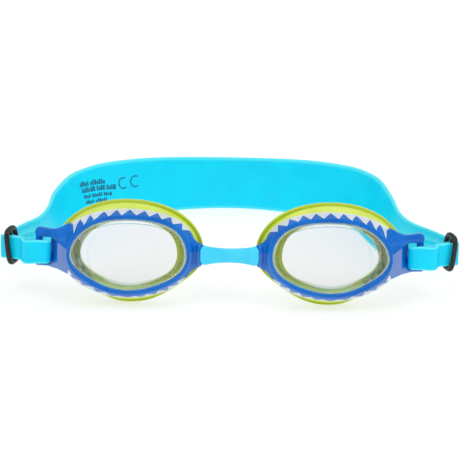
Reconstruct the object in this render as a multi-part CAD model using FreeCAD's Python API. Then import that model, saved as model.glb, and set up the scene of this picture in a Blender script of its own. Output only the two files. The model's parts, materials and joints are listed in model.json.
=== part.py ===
import FreeCAD, Part
import math
import os

from FreeCAD import Vector

# Children's swim goggles, in millimetres. X to the right, Y away from the viewer
# towards the wearer's face and the back of the strap, Z up. The goggles stand as they
# are set down on a table: on the lower lips of both gaskets and the strap's back edge.

# --- where the two cups stand ---------------------------------------------------------
CUP_X = 39.3            # half the distance between the lens centres
CUP_PITCH = 15.0        # how far each cup leans back, in degrees
CUP_Z = 21.75           # height of the lens centre
SETTLE = 0.15           # what rests on the table is flattened by this much

# --- lens and frame ring: u outward, v deeper, w up, from the middle of the lens --------
LENS_A = 22.8           # half width of the lens opening
LENS_B = 13.9           # half height of the lens opening
FIT = 0.05              # gap all round the lens in its ring
LENS_FRONT = 0.7        # the window sits this far inside the rim
LENS_BACK = 8.4         # rear edge of the skirt, at the middle
LENS_WALL = 1.4
LENS_TAPER = 1.1        # the skirt narrows by this much towards the back
SKIRT_YAW = 4.0         # the rear edge is turned, so that the temple side is deeper
RIM_WALL = 2.0
RIM_ROUND = 0.7
RING_DEPTH = 5.5
RING_FLARE_A = 4.6      # the ring's sloped side grows by this much in half width
RING_FLARE_B = 3.3
BROW_RISE = 1.1         # the sloped side is taller above the lens than below it

# --- face gasket ------------------------------------------------------------------------
LIP_A = 18.9            # half width of the opening that the eye looks through
LIP_B = 12.5
LIP_THICK = 1.3
FACE_A = 29.6           # outline of the lip that seals on the face
FACE_B = 19.6
FACE_RISE = 0.4
FACE_DEPTH = 12.5
FACE_YAW = 8.0
FACE_WALL = 1.6
FACE_ROUND = 0.9        # the lip's front edge is drawn in by this much
GASKET_NECK = 2.6       # the neck stands this far outside the lens opening

# --- teeth on the ring's sloped side ----------------------------------------------------
TOOTH_SKIN = 0.3
UPPER_TEETH = 10
UPPER_FIRST_U = 23.2    # the tall temple-side tooth
UPPER_LAST_U = -22.0
UPPER_TOOTH = 2.6
UPPER_TALL_TOOTH = 4.4
LOWER_TEETH = 10
LOWER_FIRST_U = 22.8
LOWER_LAST_U = -20.2
LOWER_TOOTH = 1.3

# --- temple arm with the strap post -----------------------------------------------------
POST_U = 34.6
POST_V = 6.0
POST_R = 1.4
POST_BOTTOM = -6.4
POST_TOP = 7.6
SLOT_U = 27.1
SLOT_BOTTOM = -5.6
SLOT_TOP = 6.5
ARM_SLOPE = 0.18        # how fast the arm sweeps back
ARM_ROOT_U = 17.0
ARM_ROOT_V = 1.5
ARM_THICK = 3.2

# --- nose lug and nose bridge -----------------------------------------------------------
LUG_U = 28.2            # the lug's shoulder, against the end of the bridge
TONGUE_U = 32.6
LUG_W = 0.4
LUG_HIGH = 9.0
TONGUE_HIGH = 5.4
TONGUE_FRONT = 2.4
TONGUE_BACK = 4.2
STUD_R = 1.1
STUD_OUT = 1.0
BRIDGE_FRONT = 0.5
BRIDGE_BACK = 3.8
BRIDGE_END_HIGH = 7.9
BRIDGE_MID_HIGH = 5.4
BRIDGE_GAP = 0.05

# --- strap ------------------------------------------------------------------------------
STRAP_THICK = 1.2
STRAP_NARROW = 8.8
STRAP_BAND = 22.9
STRAP_DROP = 1.2        # middle of the narrow strap, below the lens centre
LOOP_ANGLE = 32.5       # the loops point outward and back by this angle
LOOP_BEND_R = 3.4       # middle of the strap round the post
LAYER_OFFSET = 1.8      # half the distance between the two layers in the slider
PARALLEL_FROM = 6.6     # from here outward the two layers run parallel
TAIL_PAST = 1.8
TURN_R = 2.6            # the strap turns back towards the head beyond the slider
TURN_RUN = 1.5
BAND_GAP = 0.3
# the outer top edge of the strap in plan, from the slider round to the middle of the back
BAND_PLAN = [(80.6, 30.0), (74.8, 40.0), (71.4, 53.0), (69.6, 70.0), (65.6, 90.0),
             (59.5, 101.5), (50.0, 110.0), (31.0, 116.7), (0.0, 118.5)]
BAND_BOW = 3.0          # the strap lies this far over to one side
FLARE_START = 30.0      # the strap widens between these two depths
FLARE_END = 92.0
LEAN_IN = 8.0           # the lower edge lies this far inside the upper edge at the corners
CORNER_X = 55.0
BAND_SECTIONS = 61

# --- slider -----------------------------------------------------------------------------
SLIDER_AT = 13.8        # from the post to the middle of the slider
SLIDER_WIDE = 9.4
SLIDER_TALL = 15.0
SLIDER_THICK = 2.4
SLIDER_SLOT = 2.2
SLIDER_SLOT_TALL = 10.6

CUT = 40.0              # reach of the shapes that are only used for cutting


# ---------------------------------------------------------------------------------------
# helpers
# ---------------------------------------------------------------------------------------
def oval(v, a, b, w=0.0, yaw=0.0):
    """An elliptical outline across the lens axis, at depth v."""
    wire = Part.Wire(Part.Ellipse(Vector(0, 0, 0), a, b).toShape())
    wire.rotate(Vector(0, 0, 0), Vector(1, 0, 0), 90)
    wire.rotate(Vector(0, 0, 0), Vector(0, 0, 1), yaw)
    wire.translate(Vector(0, v, w))
    return wire


def taper(*outlines):
    """A solid with straight sides from each outline to the next."""
    return Part.makeLoft(list(outlines), True, True)


def plate(points, v_front, v_back):
    """A closed polygon in the u-w plane, made solid between two depths."""
    corners = [Vector(u, v_front, w) for u, w in points]
    face = Part.Face(Part.makePolygon(corners + [corners[0]]))
    return face.extrude(Vector(0, v_back - v_front, 0))


def smooth_plate(points, v_front, v_back):
    """A closed smooth outline in the u-w plane, made solid between two depths."""
    curve = Part.BSplineCurve()
    curve.interpolate([Vector(u, v_front, w) for u, w in points], PeriodicFlag=True)
    face = Part.Face(Part.Wire(curve.toShape()))
    return face.extrude(Vector(0, v_back - v_front, 0))


def box_between(low, high):
    """A box between two opposite corners."""
    size = [high[i] - low[i] for i in range(3)]
    return Part.makeBox(*size, Vector(*low))


def smoothstep(t):
    """0 before 0, 1 after 1, and an even S between them."""
    t = min(1.0, max(0.0, t))
    return t * t * (3 - 2 * t)


def one_solid(shape):
    """The single solid of a shape, with needless seams removed."""
    return shape.removeSplitter().Solids[0]


def set_down(shape):
    """Flattens what would reach below the table, at z = 0."""
    reach = 4 * CUT
    return one_solid(shape.cut(box_between((-reach, -reach, -reach), (reach, reach, 0))))


# ---------------------------------------------------------------------------------------
# the cup, for the side at +X
# ---------------------------------------------------------------------------------------
def ring_surface(extra=0.0):
    """The outside of the frame ring, its sides pushed out by extra."""
    a = LENS_A + RIM_WALL + extra
    b = LENS_B + RIM_WALL + extra
    return taper(
        oval(0.0, a - RIM_ROUND, b - RIM_ROUND),
        oval(RIM_ROUND, a, b),
        oval(RING_DEPTH, LENS_A + RING_FLARE_A + extra, LENS_B + RING_FLARE_B + extra, BROW_RISE),
    )


def lens_seat():
    """The space that the lens takes up inside the ring."""
    return taper(
        oval(-CUT, LENS_A, LENS_B),
        oval(LENS_FRONT, LENS_A, LENS_B),
        oval(LENS_BACK, LENS_A - LENS_TAPER, LENS_B - LENS_TAPER, 0.0, SKIRT_YAW),
    )


def temple_arm():
    """The arm that sweeps back from the ring to the strap post."""
    outline = smooth_plate(
        [(16.0, 14.2), (25.2, 12.4), (29.2, 9.9), (33.6, 10.6), (36.2, 8.4), (36.4, 2.0),
         (36.2, -5.4), (33.6, -7.3), (27.0, -7.9), (20.4, -10.4), (13.0, -13.4), (12.0, 0.0)],
        -CUT, CUT)
    reach = POST_U + CUP_X
    front = [(ARM_ROOT_U, ARM_ROOT_V), (reach, ARM_ROOT_V + ARM_SLOPE * (reach - ARM_ROOT_U))]
    back = [(u, v + ARM_THICK) for u, v in reversed(front)]
    corners = [Vector(u, v, -CUT) for u, v in front + back]
    slab = Part.Face(Part.makePolygon(corners + [corners[0]])).extrude(Vector(0, 0, 2 * CUT))
    slot = box_between((SLOT_U, -CUT, SLOT_BOTTOM), (reach, CUT, SLOT_TOP))
    post = Part.makeCylinder(POST_R, POST_TOP - POST_BOTTOM, Vector(POST_U, POST_V, POST_BOTTOM))
    return outline.common(slab).cut(slot).fuse(post)


def nose_lug():
    """The shoulder and the thin tongue that hold one end of the nose bridge."""
    half = LUG_HIGH / 2
    shoulder = plate(
        [(-20.0, half + 3.6), (-24.5, half + 1.6), (-LUG_U, half + LUG_W),
         (-LUG_U, LUG_W - half), (-24.5, -half - 1.4), (-20.0, -half - 3.4)],
        BRIDGE_FRONT, TONGUE_BACK)
    tongue = box_between(
        (-TONGUE_U, TONGUE_FRONT, LUG_W - TONGUE_HIGH / 2),
        (-LUG_U + 1.0, TONGUE_BACK, LUG_W + TONGUE_HIGH / 2))
    stud = Part.makeCylinder(
        STUD_R, STUD_OUT + 0.5,
        Vector(-(LUG_U + TONGUE_U) / 2, TONGUE_FRONT + 0.5, LUG_W), Vector(0, -1, 0))
    return shoulder.fuse(tongue).fuse(stud)


def frame():
    body = ring_surface().fuse(temple_arm()).fuse(nose_lug())
    return one_solid(body.cut(lens_seat()).cut(gasket_outside(FIT)))


def lens():
    outer = taper(
        oval(LENS_FRONT, LENS_A - FIT, LENS_B - FIT),
        oval(LENS_BACK, LENS_A - LENS_TAPER - FIT, LENS_B - LENS_TAPER - FIT, 0.0, SKIRT_YAW))
    inset = FIT + LENS_WALL
    inner = taper(
        oval(LENS_FRONT + LENS_WALL, LENS_A - inset, LENS_B - inset),
        oval(LENS_BACK + 0.1, LENS_A - LENS_TAPER - inset, LENS_B - LENS_TAPER - inset, 0.0, SKIRT_YAW))
    return one_solid(outer.cut(inner))


def gasket_outside(extra=0.0):
    """The outside of the gasket, from its neck behind the ring to its face lip."""
    inset = FACE_ROUND - extra
    return taper(
        oval(RING_DEPTH + FIT - extra, LENS_A + GASKET_NECK + extra, LENS_B + GASKET_NECK + extra, BROW_RISE),
        oval(FACE_DEPTH - FACE_WALL, FACE_A - inset, FACE_B - inset, FACE_RISE, FACE_YAW - 1.0),
        oval(FACE_DEPTH, FACE_A + extra, FACE_B + extra, FACE_RISE, FACE_YAW))


def gasket():
    """The soft cup that grips the lens skirt and flares out to the face."""
    seat = taper(
        oval(0.0, LENS_A, LENS_B),
        oval(LENS_BACK + FIT, LENS_A - LENS_TAPER, LENS_B - LENS_TAPER, 0.0, SKIRT_YAW))
    window = taper(
        oval(LENS_BACK - 2.0, LIP_A, LIP_B, 0.0, SKIRT_YAW),
        oval(LENS_BACK + LIP_THICK, LIP_A, LIP_B, 0.0, SKIRT_YAW + 0.5),
        oval(FACE_DEPTH + 0.1, FACE_A - FACE_WALL, FACE_B - FACE_WALL, FACE_RISE, FACE_YAW))
    return one_solid(gasket_outside().cut(seat).cut(window))


def ellipse_w(u, a, b, rise):
    """Height of an elliptical outline above its middle at u."""
    return rise + b * math.sqrt(max(0.0, 1 - (u / a) ** 2))


def tooth_band():
    """A thin skin on the sloped side of the ring."""
    return ring_surface(TOOTH_SKIN).cut(ring_surface()).cut(
        box_between((-CUT, -1.0, -CUT), (CUT, RIM_ROUND, CUT)))


def zigzag(first_u, last_u, count, side, tip_inset, base_inset):
    """Zigzag prism: side is +1 for the teeth above the lens and -1 for those below it."""
    a = LENS_A + RING_FLARE_A
    b = LENS_B + RING_FLARE_B
    edge = []
    pitch = (last_u - first_u) / count
    for i in range(count):
        tip_u = first_u + pitch * (i + (0.0 if side > 0 and i == 0 else 0.5))
        gap_u = first_u + pitch * (i + 1)
        tip = ellipse_w(tip_u, a, b, side * BROW_RISE) - tip_inset(i)
        gap = ellipse_w(gap_u, a, b, side * BROW_RISE) - base_inset
        edge.append((tip_u, side * tip))
        edge.append((gap_u, side * gap))
    far = [(last_u, side * CUT), (first_u, side * CUT)]
    return plate(edge + far, 0.0, RING_DEPTH)


def on_ring(prism):
    """The largest piece of the tooth skin inside a prism, clear of the arm and the lug."""
    skin = tooth_band().common(prism).cut(temple_arm()).cut(nose_lug())
    return max(skin.Solids, key=lambda solid: solid.Volume)


def upper_teeth():
    def depth(i):
        return UPPER_TALL_TOOTH if i == 0 else UPPER_TOOTH
    prism = zigzag(UPPER_FIRST_U, UPPER_LAST_U, UPPER_TEETH, 1, depth, 0.7)
    return on_ring(prism)


def lower_teeth():
    prism = zigzag(LOWER_FIRST_U, LOWER_LAST_U, LOWER_TEETH, -1, lambda i: LOWER_TOOTH, 0.25)
    return on_ring(prism)


def nose_bridge():
    """The soft bridge: two wider ends over the frames' tongues, and a narrow middle."""
    end = CUP_X - LUG_U - BRIDGE_GAP
    high = BRIDGE_END_HIGH / 2
    mid = BRIDGE_MID_HIGH / 2
    top = [(-end, high), (-end / 2, mid + 0.7), (0.0, mid), (end / 2, mid + 0.7), (end, high)]
    upper = Part.BSplineCurve()
    upper.interpolate([Vector(x, BRIDGE_FRONT, LUG_W + h) for x, h in top])
    lower = Part.BSplineCurve()
    lower.interpolate([Vector(x, BRIDGE_FRONT, LUG_W - h) for x, h in top])
    sides = [Part.makeLine(Vector(x, BRIDGE_FRONT, LUG_W + high), Vector(x, BRIDGE_FRONT, LUG_W - high))
             for x in (-end, end)]
    outline = Part.Wire(Part.__sortEdges__([upper.toShape(), lower.toShape()] + sides))
    bar = Part.Face(outline).extrude(Vector(0, BRIDGE_BACK - BRIDGE_FRONT, 0))
    for side in (-1, 1):
        pocket = box_between(
            (CUP_X - TONGUE_U - BRIDGE_GAP, TONGUE_FRONT - BRIDGE_GAP, -CUT), (CUT, CUT, CUT))
        hole = Part.makeCylinder(
            STUD_R + BRIDGE_GAP, STUD_OUT + 1.0,
            Vector(CUP_X - (LUG_U + TONGUE_U) / 2, TONGUE_FRONT + 1.0, LUG_W), Vector(0, -1, 0))
        bar = bar.cut(mirrored(pocket.fuse(hole), side))
    return one_solid(bar)


# ---------------------------------------------------------------------------------------
# placing the pieces
# ---------------------------------------------------------------------------------------
def mirrored(shape, side):
    """The shape itself for the side at +X, or its mirror image for the side at -X."""
    return shape if side > 0 else shape.mirror(Vector(0, 0, 0), Vector(1, 0, 0))


def pitched(shape, x=0.0):
    """Moves a shape from the cup's own directions to where the cup stands."""
    placed = shape.copy()
    placed.rotate(Vector(0, 0, 0), Vector(1, 0, 0), -CUP_PITCH)
    placed.translate(Vector(x, 0, CUP_Z))
    return placed


def post_axis():
    """The middle of the strap on the post at +X, which its loop swings about."""
    pitch = math.radians(CUP_PITCH)
    z = CUP_Z - STRAP_DROP
    w = (z - CUP_Z + POST_V * math.sin(pitch)) / math.cos(pitch)
    return Vector(CUP_X + POST_U, POST_V * math.cos(pitch) + w * math.sin(pitch), z)


def on_loop(d, n, z=0.0):
    """A point d along the loop from the post, n across it towards the back."""
    turn = math.radians(LOOP_ANGLE)
    return post_axis() + Vector(
        d * math.cos(turn) - n * math.sin(turn), d * math.sin(turn) + n * math.cos(turn), z)


# ---------------------------------------------------------------------------------------
# strap and sliders
# ---------------------------------------------------------------------------------------
def ribbon(curve, z_low, high, samples):
    """A strap of the usual thickness that stands on edge and follows a level curve."""
    first = curve.FirstParameter
    last = curve.LastParameter
    sides = {-1: [], 1: []}
    for i in range(samples):
        t = first + (last - first) * i / (samples - 1)
        along = curve.tangent(t)[0]
        across = Vector(-along.y, along.x, 0)
        for side in sides:
            point = curve.value(t) + across * (side * STRAP_THICK / 2)
            sides[side].append(Vector(point.x, point.y, z_low))
    edges = []
    for points in sides.values():
        spline = Part.BSplineCurve()
        spline.interpolate(points)
        edges.append(spline.toShape())
    for end in (0, -1):
        edges.append(Part.makeLine(sides[-1][end], sides[1][end]))
    outline = Part.Wire(Part.__sortEdges__(edges))
    return Part.Face(outline).extrude(Vector(0, 0, high))


def turn_points(middle_d, middle_n, radius, first, last, count):
    """Points on an arc in the loop's own directions, between two angles in degrees."""
    angles = [math.radians(first + (last - first) * i / (count - 1)) for i in range(count)]
    return [(middle_d + radius * math.cos(a), middle_n + radius * math.sin(a)) for a in angles]


def strap_loop():
    """The strap's end: tail, slider, round the post, slider again, then the turn back."""
    past = SLIDER_AT + SLIDER_THICK / 2
    front = [(past + TAIL_PAST, -LAYER_OFFSET), (SLIDER_AT, -LAYER_OFFSET),
             (SLIDER_AT / 2 + PARALLEL_FROM / 2, -LAYER_OFFSET), (PARALLEL_FROM, -LAYER_OFFSET)]
    bend = turn_points(0.0, 0.0, LOOP_BEND_R, 285.0, 75.0, 9)
    back = [(d, -n) for d, n in reversed(front[1:])]
    turn = turn_points(past + 0.2, LAYER_OFFSET + TURN_R, TURN_R, -90.0, 0.0, 5)
    run = [(past + 0.2 + TURN_R, LAYER_OFFSET + TURN_R + TURN_RUN)]
    curve = Part.BSplineCurve()
    curve.interpolate([on_loop(d, n) for d, n in front + bend + back + turn + run])
    return ribbon(curve, post_axis().z - STRAP_NARROW / 2, STRAP_NARROW, 90)


def slider():
    """A flat oval ring with a bar between its two slots, square to the strap."""
    half_wide = SLIDER_WIDE / 2
    half_tall = SLIDER_TALL / 2
    blank = Part.makeBox(SLIDER_THICK, SLIDER_WIDE, SLIDER_TALL,
                         Vector(-SLIDER_THICK / 2, -half_wide, -half_tall))
    upright = [e for e in blank.Edges if abs(e.tangentAt(e.FirstParameter).x) > 0.9]
    ring = blank.makeFillet(half_wide - 0.3, upright)
    ring = ring.makeFillet(0.5, [e for e in ring.Edges if abs(e.tangentAt(e.FirstParameter).x) < 0.5])
    for layer in (-1, 1):
        slot = Part.makeBox(SLIDER_THICK * 2, SLIDER_SLOT, SLIDER_SLOT_TALL,
                            Vector(-SLIDER_THICK, layer * LAYER_OFFSET - SLIDER_SLOT / 2,
                                   -SLIDER_SLOT_TALL / 2))
        ring = ring.cut(slot)
    ring.rotate(Vector(0, 0, 0), Vector(0, 0, 1), LOOP_ANGLE)
    ring.translate(on_loop(SLIDER_AT, 0.0))
    return one_solid(ring)


def band_curve():
    """The outer top edge of the strap in plan, from the slider at -X to the one at +X."""
    past = SLIDER_AT + SLIDER_THICK / 2 + 0.2 + TURN_R
    start = on_loop(past + STRAP_THICK / 2, LAYER_OFFSET + TURN_R + TURN_RUN + BAND_GAP)
    side = [(start.x, start.y)] + BAND_PLAN
    plan = [(-x, y) for x, y in side] + list(reversed(side[:-1]))
    points = []
    for x, y in plan:
        share = (y - start.y) / (BAND_PLAN[-1][1] - start.y)
        points.append(Vector(x - BAND_BOW * math.sin(math.pi * share), y, 0))
    turn = math.radians(LOOP_ANGLE)
    leave = Vector(math.sin(turn), math.cos(turn), 0)
    arrive = Vector(math.sin(turn), -math.cos(turn), 0)
    curve = Part.BSplineCurve()
    curve.interpolate(Points=points, InitialTangent=leave, FinalTangent=arrive)
    return curve


def strap_band():
    """The strap from slider to slider: narrow ends that widen to a tall band behind."""
    curve = band_curve()
    first = curve.FirstParameter
    last = curve.LastParameter
    narrow_low = post_axis().z - STRAP_NARROW / 2
    sections = []
    for i in range(BAND_SECTIONS):
        t = first + (last - first) * i / (BAND_SECTIONS - 1)
        edge = curve.value(t)
        along = curve.tangent(t)[0]
        inward = Vector(along.y, -along.x, 0)
        widened = smoothstep((edge.y - FLARE_START) / (FLARE_END - FLARE_START))
        low = narrow_low * (1 - widened) - SETTLE * widened
        high = STRAP_BAND + (narrow_low + STRAP_NARROW - STRAP_BAND) * (1 - widened)
        corner = widened * smoothstep(abs(edge.x) / CORNER_X)
        lean = inward * (LEAN_IN * corner)
        wall = inward * STRAP_THICK
        corners = [edge + Vector(0, 0, high), edge + wall + Vector(0, 0, high),
                   edge + wall + lean + Vector(0, 0, low), edge + lean + Vector(0, 0, low)]
        sections.append(Part.makePolygon(corners + [corners[0]]))
    return set_down(taper(*sections))


# ---------------------------------------------------------------------------------------
# build
# ---------------------------------------------------------------------------------------
def all_pieces():
    pieces = {}
    for side, name in ((-1, "left"), (1, "right")):
        x = side * CUP_X
        for kind, make in (("frame", frame), ("lens", lens), ("gasket", gasket),
                           ("upper_teeth", upper_teeth), ("lower_teeth", lower_teeth)):
            pieces[f"{kind}_{name}"] = pitched(mirrored(make(), side), x)
        pieces[f"gasket_{name}"] = set_down(pieces[f"gasket_{name}"])
        pieces[f"strap_loop_{name}"] = mirrored(strap_loop(), side)
        pieces[f"slider_{name}"] = mirrored(slider(), side)
    pieces["nose_bridge"] = pitched(nose_bridge())
    pieces["strap_band"] = strap_band()
    return pieces


def main():
    os.makedirs("parts", exist_ok=True)
    pieces = all_pieces()
    whole = Part.makeCompound(list(pieces.values())).optimalBoundingBox(False, False)
    to_origin = Vector(-whole.Center.x, -whole.Center.y, 0)
    for name, shape in pieces.items():
        shape.translate(to_origin)
        shape.exportStep(f"parts/{name}.step")
    print("moved by", to_origin, "size", whole.XLength, whole.YLength, whole.ZLength)


main()
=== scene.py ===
import json
import math

import bmesh
import bpy
from mathutils import Matrix, Vector


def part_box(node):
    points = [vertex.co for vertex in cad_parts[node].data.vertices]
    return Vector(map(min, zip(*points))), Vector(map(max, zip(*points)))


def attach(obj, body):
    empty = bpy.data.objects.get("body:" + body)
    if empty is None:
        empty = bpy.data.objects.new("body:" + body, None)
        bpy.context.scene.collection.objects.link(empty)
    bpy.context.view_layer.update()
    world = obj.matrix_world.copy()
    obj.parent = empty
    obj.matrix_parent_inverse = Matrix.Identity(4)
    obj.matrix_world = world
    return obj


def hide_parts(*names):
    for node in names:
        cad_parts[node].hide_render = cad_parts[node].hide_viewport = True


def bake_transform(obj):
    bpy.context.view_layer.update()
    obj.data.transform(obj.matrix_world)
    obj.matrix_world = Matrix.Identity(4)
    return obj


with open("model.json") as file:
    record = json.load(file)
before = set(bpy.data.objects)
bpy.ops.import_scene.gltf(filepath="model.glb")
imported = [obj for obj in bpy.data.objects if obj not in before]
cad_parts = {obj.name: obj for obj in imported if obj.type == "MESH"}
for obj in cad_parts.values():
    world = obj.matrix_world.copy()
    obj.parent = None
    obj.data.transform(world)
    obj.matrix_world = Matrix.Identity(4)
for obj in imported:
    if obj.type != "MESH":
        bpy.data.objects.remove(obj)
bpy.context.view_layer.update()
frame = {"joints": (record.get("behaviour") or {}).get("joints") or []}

# Sizes are in millimetres, and MM turns them into Blender's metres.
MM = 0.001

# --- places that come from the frame ---
JOINTS = {joint["name"]: joint for joint in frame["joints"]}
PITCH = math.radians(15.0)  # each cup leans back
HINGE_V, HINGE_W = 2.4, 0.4  # the nose hinge, in a cup's own directions
hinge = Vector(JOINTS["nose_flex"]["pos_m"]) / MM
lens_low, lens_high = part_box("lens_right")
CUP_X = (lens_low.x + lens_high.x) / 2 / MM
CUP_Y = hinge.y - HINGE_V * math.cos(PITCH) - HINGE_W * math.sin(PITCH)
CUP_Z = hinge.z - HINGE_W * math.cos(PITCH) + HINGE_V * math.sin(PITCH)
POST = Vector(JOINTS["right_loop_swing"]["pos_m"]) / MM
SIDES = {"left": -1, "right": 1}

# --- lens opening and frame ring: u outward, v deeper, w up, from the middle of the lens ---
OPEN_A, OPEN_B = 22.8, 13.9
DIAGONAL_SWELL = 0.05  # fuller at the upper nose side, flatter opposite it
UPPER_SWELL = 0.02
RIM_WALL = 2.0
RIM_ROUND = 0.7
RING_DEPTH = 5.5
FLARE_A, FLARE_B = 4.0, 3.3
FLARE_UP = 2.8  # wider still over the brow
BROW_RISE = 0.3
ROUND_STEPS = 160  # points round a cup

# --- lens ---
LENS_FRONT = 0.7
LENS_WALL = 1.4
LENS_BACK = 8.4
LENS_TAPER = 1.1
LENS_CROWN = 0.35
SKIRT_YAW = 4.0
WINDOW, SKIRT, WALL, BEVEL = range(4)  # its materials
WALL_HALF_ANGLE = 54  # the thick temple wall reaches this far up and down,
WALL_STEP = 3  # in columns this many degrees apart
WALL_ROWS = ((1.9, -1.0, -1.2), (4.2, -2.5, -1.8), (6.2, -3.5, -2.0), (8.0, -4.1, -2.2))

# --- gasket ---
LIP_A, LIP_B = 18.9, 12.5
NECK = 2.6  # the flare starts this far outside the lens opening
FACE_A, FACE_B = 29.6, 20.1
FACE_RISE = 0.9
CHEEK_TEMPLE, CHEEK_NOSE = 0.13, 0.07  # how far the face lip draws in below, on each side
FACE_DEPTH = 12.5
FACE_YAW = 8.0
CREASE = 0.70  # share of the flare where the crease runs

# --- arm, post and nose lug ---
POST_U, POST_V, POST_R = 34.6, 6.0, 1.4
SLOT_U, SLOT_BACK_U, SLOT_BOTTOM, SLOT_TOP = 27.3, 30.3, -4.3, 6.25
ARM_THICK = 3.2
ARM_FROM, ARM_FRONT, ARM_SLOPE = 22.5, 0.35, 0.33  # its front falls back evenly beyond ARM_FROM
RIDGE_LOW, RIDGE_CLIMB = 2.1, 3.8
RIDGE_FROM, RIDGE_RUN = 22.2, 7.6
FACET_SLOPE, WEB_SLOPE = 0.2, -0.05  # how the front falls back above and below the ridge
LUG_U, LUG_W = 28.2, 0.4
TONGUE_U = 32.6
VOXEL = 0.28  # grid size when a frame's blocks are merged

# --- nose bridge ---
BRIDGE_GAP = 0.7  # between its half length and the lugs' crease
BRIDGE_STEPS, BRIDGE_ROUND = 48, 24  # sections along it, and points round each
BRIDGE_WAIST, BRIDGE_SPREAD = 2.75, 1.25
BRIDGE_FRONT, BRIDGE_BACK = 0.75, 3.9
BRIDGE_CROWN, BRIDGE_PAD = 0.1, 0.35  # its front is crowned, and its ends stand proud
BRIDGE_THINNING = 1.5  # its ends are this much thinner at the back
BRIDGE_SQUEEZE = 0.12
BRIDGE_END_ROUND = 0.9

# --- strap ---
STRAP_THICK = 1.2
STRAP_FRONT, STRAP_BACK = 9.7, 8.3  # height of the doubled strap's two layers
STRAP_BAND = 22.9  # height at the back of the head
LOOP_ANGLE = math.radians(32.5)
LOOP_BEND_R = 3.4
LOOP_SLACK = 0.9  # the bend stands off the post by this much more
FRONT_RAISE, BACK_RAISE = -0.6, -0.65  # their middles lie this much over the post's middle
TAIL_RISE, BEND_RISE = 0.9, 1.1  # the front layer climbs this much in two stages,
TAIL_RISE_TO = 0.19  # which lie at these shares of the strap end's length
BEND_RISE_FROM, BEND_RISE_RUN = 0.25, 0.16
BACK_FROM, BACK_RUN = 0.38, 0.2  # where the front layer passes into the back one
LAYER_OFFSET = 1.8
PARALLEL_FROM = 6.6
SLIDER_AT = 13.8  # from the post along the doubled strap
SLIDER_SHOWN_AT = {"left": 13.1, "right": 14.2}  # the right one is drawn further out
SLIDER_THICK = 2.4
TAIL_PAST = 1.8
TURN_R = 2.6
TURN_RUN = 1.5
TURN_GAP = 0.2
END_SPACING, BAND_SPACING = 0.6, 1.5  # between sections of a strap end and of the band
BAND_PLAN = [(80.6, 30.0), (74.8, 40.0), (71.4, 53.0), (69.6, 70.0), (65.6, 90.0),
             (59.5, 101.5), (50.0, 110.0), (31.0, 116.7), (0.0, 118.5)]
BAND_BOW = 3.0
FLARE_START, FLARE_END = 30.0, 92.0
DROP_START, DROP_END = 21.0, 75.0  # the lower edge spreads sooner than the upper one
UPPER_LAG = 8.0  # and the upper one over a shorter stretch
UPPER_DIP, DIP_DEPTH, DIP_WIDTH = 1.2, 48.0, 26.0
TABLE_GAP = 0.03
LEAN_IN = 8.0
CORNER_X = 55.0
MIDDLE_X = 40.0  # the strap's middle piece ends here, on each side

# --- camera ---
CAMERA_ELEVATION = math.radians(20.0)
CAMERA_DISTANCE = 1100.0
CAMERA_ROLL = math.radians(1.0)
VIEW_WIDTH = 177.56  # what the frame spans at the front of the lenses
SENSOR_WIDTH = 36.0
AIM_ABOVE_LENSES = 10.5
WORLD_STRENGTH = 0.62
FLOOR_HALF = 3000.0


# === geometry helpers ===
def smoothstep(t):
    """0 before 0, 1 after 1, and an even S between them."""
    t = min(1.0, max(0.0, t))
    return t * t * (3 - 2 * t)


def pitched(x, v, w):
    """A point at x in the row frame, with depth v and height w in the cups' leaning directions."""
    return Vector((
        x,
        CUP_Y + v * math.cos(PITCH) + w * math.sin(PITCH),
        CUP_Z + w * math.cos(PITCH) - v * math.sin(PITCH)))


def cup_point(side, u, v, w):
    """A point of a cup, from its own directions to the row frame."""
    return pitched(side * (CUP_X + u), v, w)


def on_side(side, points):
    """Points of the right side, mirrored when side is -1."""
    return [Vector((side * p.x, p.y, p.z)) for p in points]


def turns(count):
    """Angles evenly round a circle."""
    return [2 * math.pi * k / count for k in range(count)]


def swell(angle):
    """How much the lens opening departs from an ellipse."""
    across = math.cos(angle - math.radians(135)) * DIAGONAL_SWELL + math.sin(angle) * UPPER_SWELL
    return 1 + math.sin(2 * angle) ** 2 * across


def hump(angle, middle, width):
    """1 at the middle angle, falling evenly to 0 at width either side; all in degrees."""
    off = abs((angle - middle + 180) % 360 - 180)
    return math.cos(math.pi / 2 * min(1.0, off / width)) ** 2


def oval(v, a, b, rise=0.0, yaw=0.0, swollen=1.0, cheek=0.0):
    """Points round the lens axis at depth v, as (u, v, w). cheek draws in the lower half."""
    turn = math.radians(yaw)
    points = []
    for angle in turns(ROUND_STEPS):
        grow = 1 + (swell(angle) - 1) * swollen
        around = math.degrees(angle)
        drawn = CHEEK_TEMPLE * hump(around, 318, 48) + CHEEK_NOSE * hump(around, 222, 42)
        grow *= 1 - cheek * drawn
        u = a * math.cos(angle) * grow
        w = b * math.sin(angle) * grow + rise
        points.append((u * math.cos(turn), v + u * math.sin(turn), w))
    return points


def make_object(name, points, faces, materials, sharp=35.0, shades=None):
    """A smooth-shaded mesh object from points in millimetres.

    shades holds a value at each point, which the material mixes its colours by."""
    mesh = bpy.data.meshes.new(name)
    mesh.from_pydata([Vector(p) * MM for p in points], [], faces)
    if shades:
        mesh.attributes.new("shade", "FLOAT", "POINT").data.foreach_set("value", shades)
    tidy = bmesh.new()
    tidy.from_mesh(mesh)
    bmesh.ops.remove_doubles(tidy, verts=tidy.verts, dist=1e-6)
    bmesh.ops.recalc_face_normals(tidy, faces=tidy.faces)
    tidy.to_mesh(mesh)
    tidy.free()
    obj = bpy.data.objects.new(name, mesh)
    bpy.context.scene.collection.objects.link(obj)
    for material in materials:
        mesh.materials.append(material)
    mesh.shade_smooth()
    if sharp:
        mesh.set_sharp_from_angle(angle=math.radians(sharp))
    return obj


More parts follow.
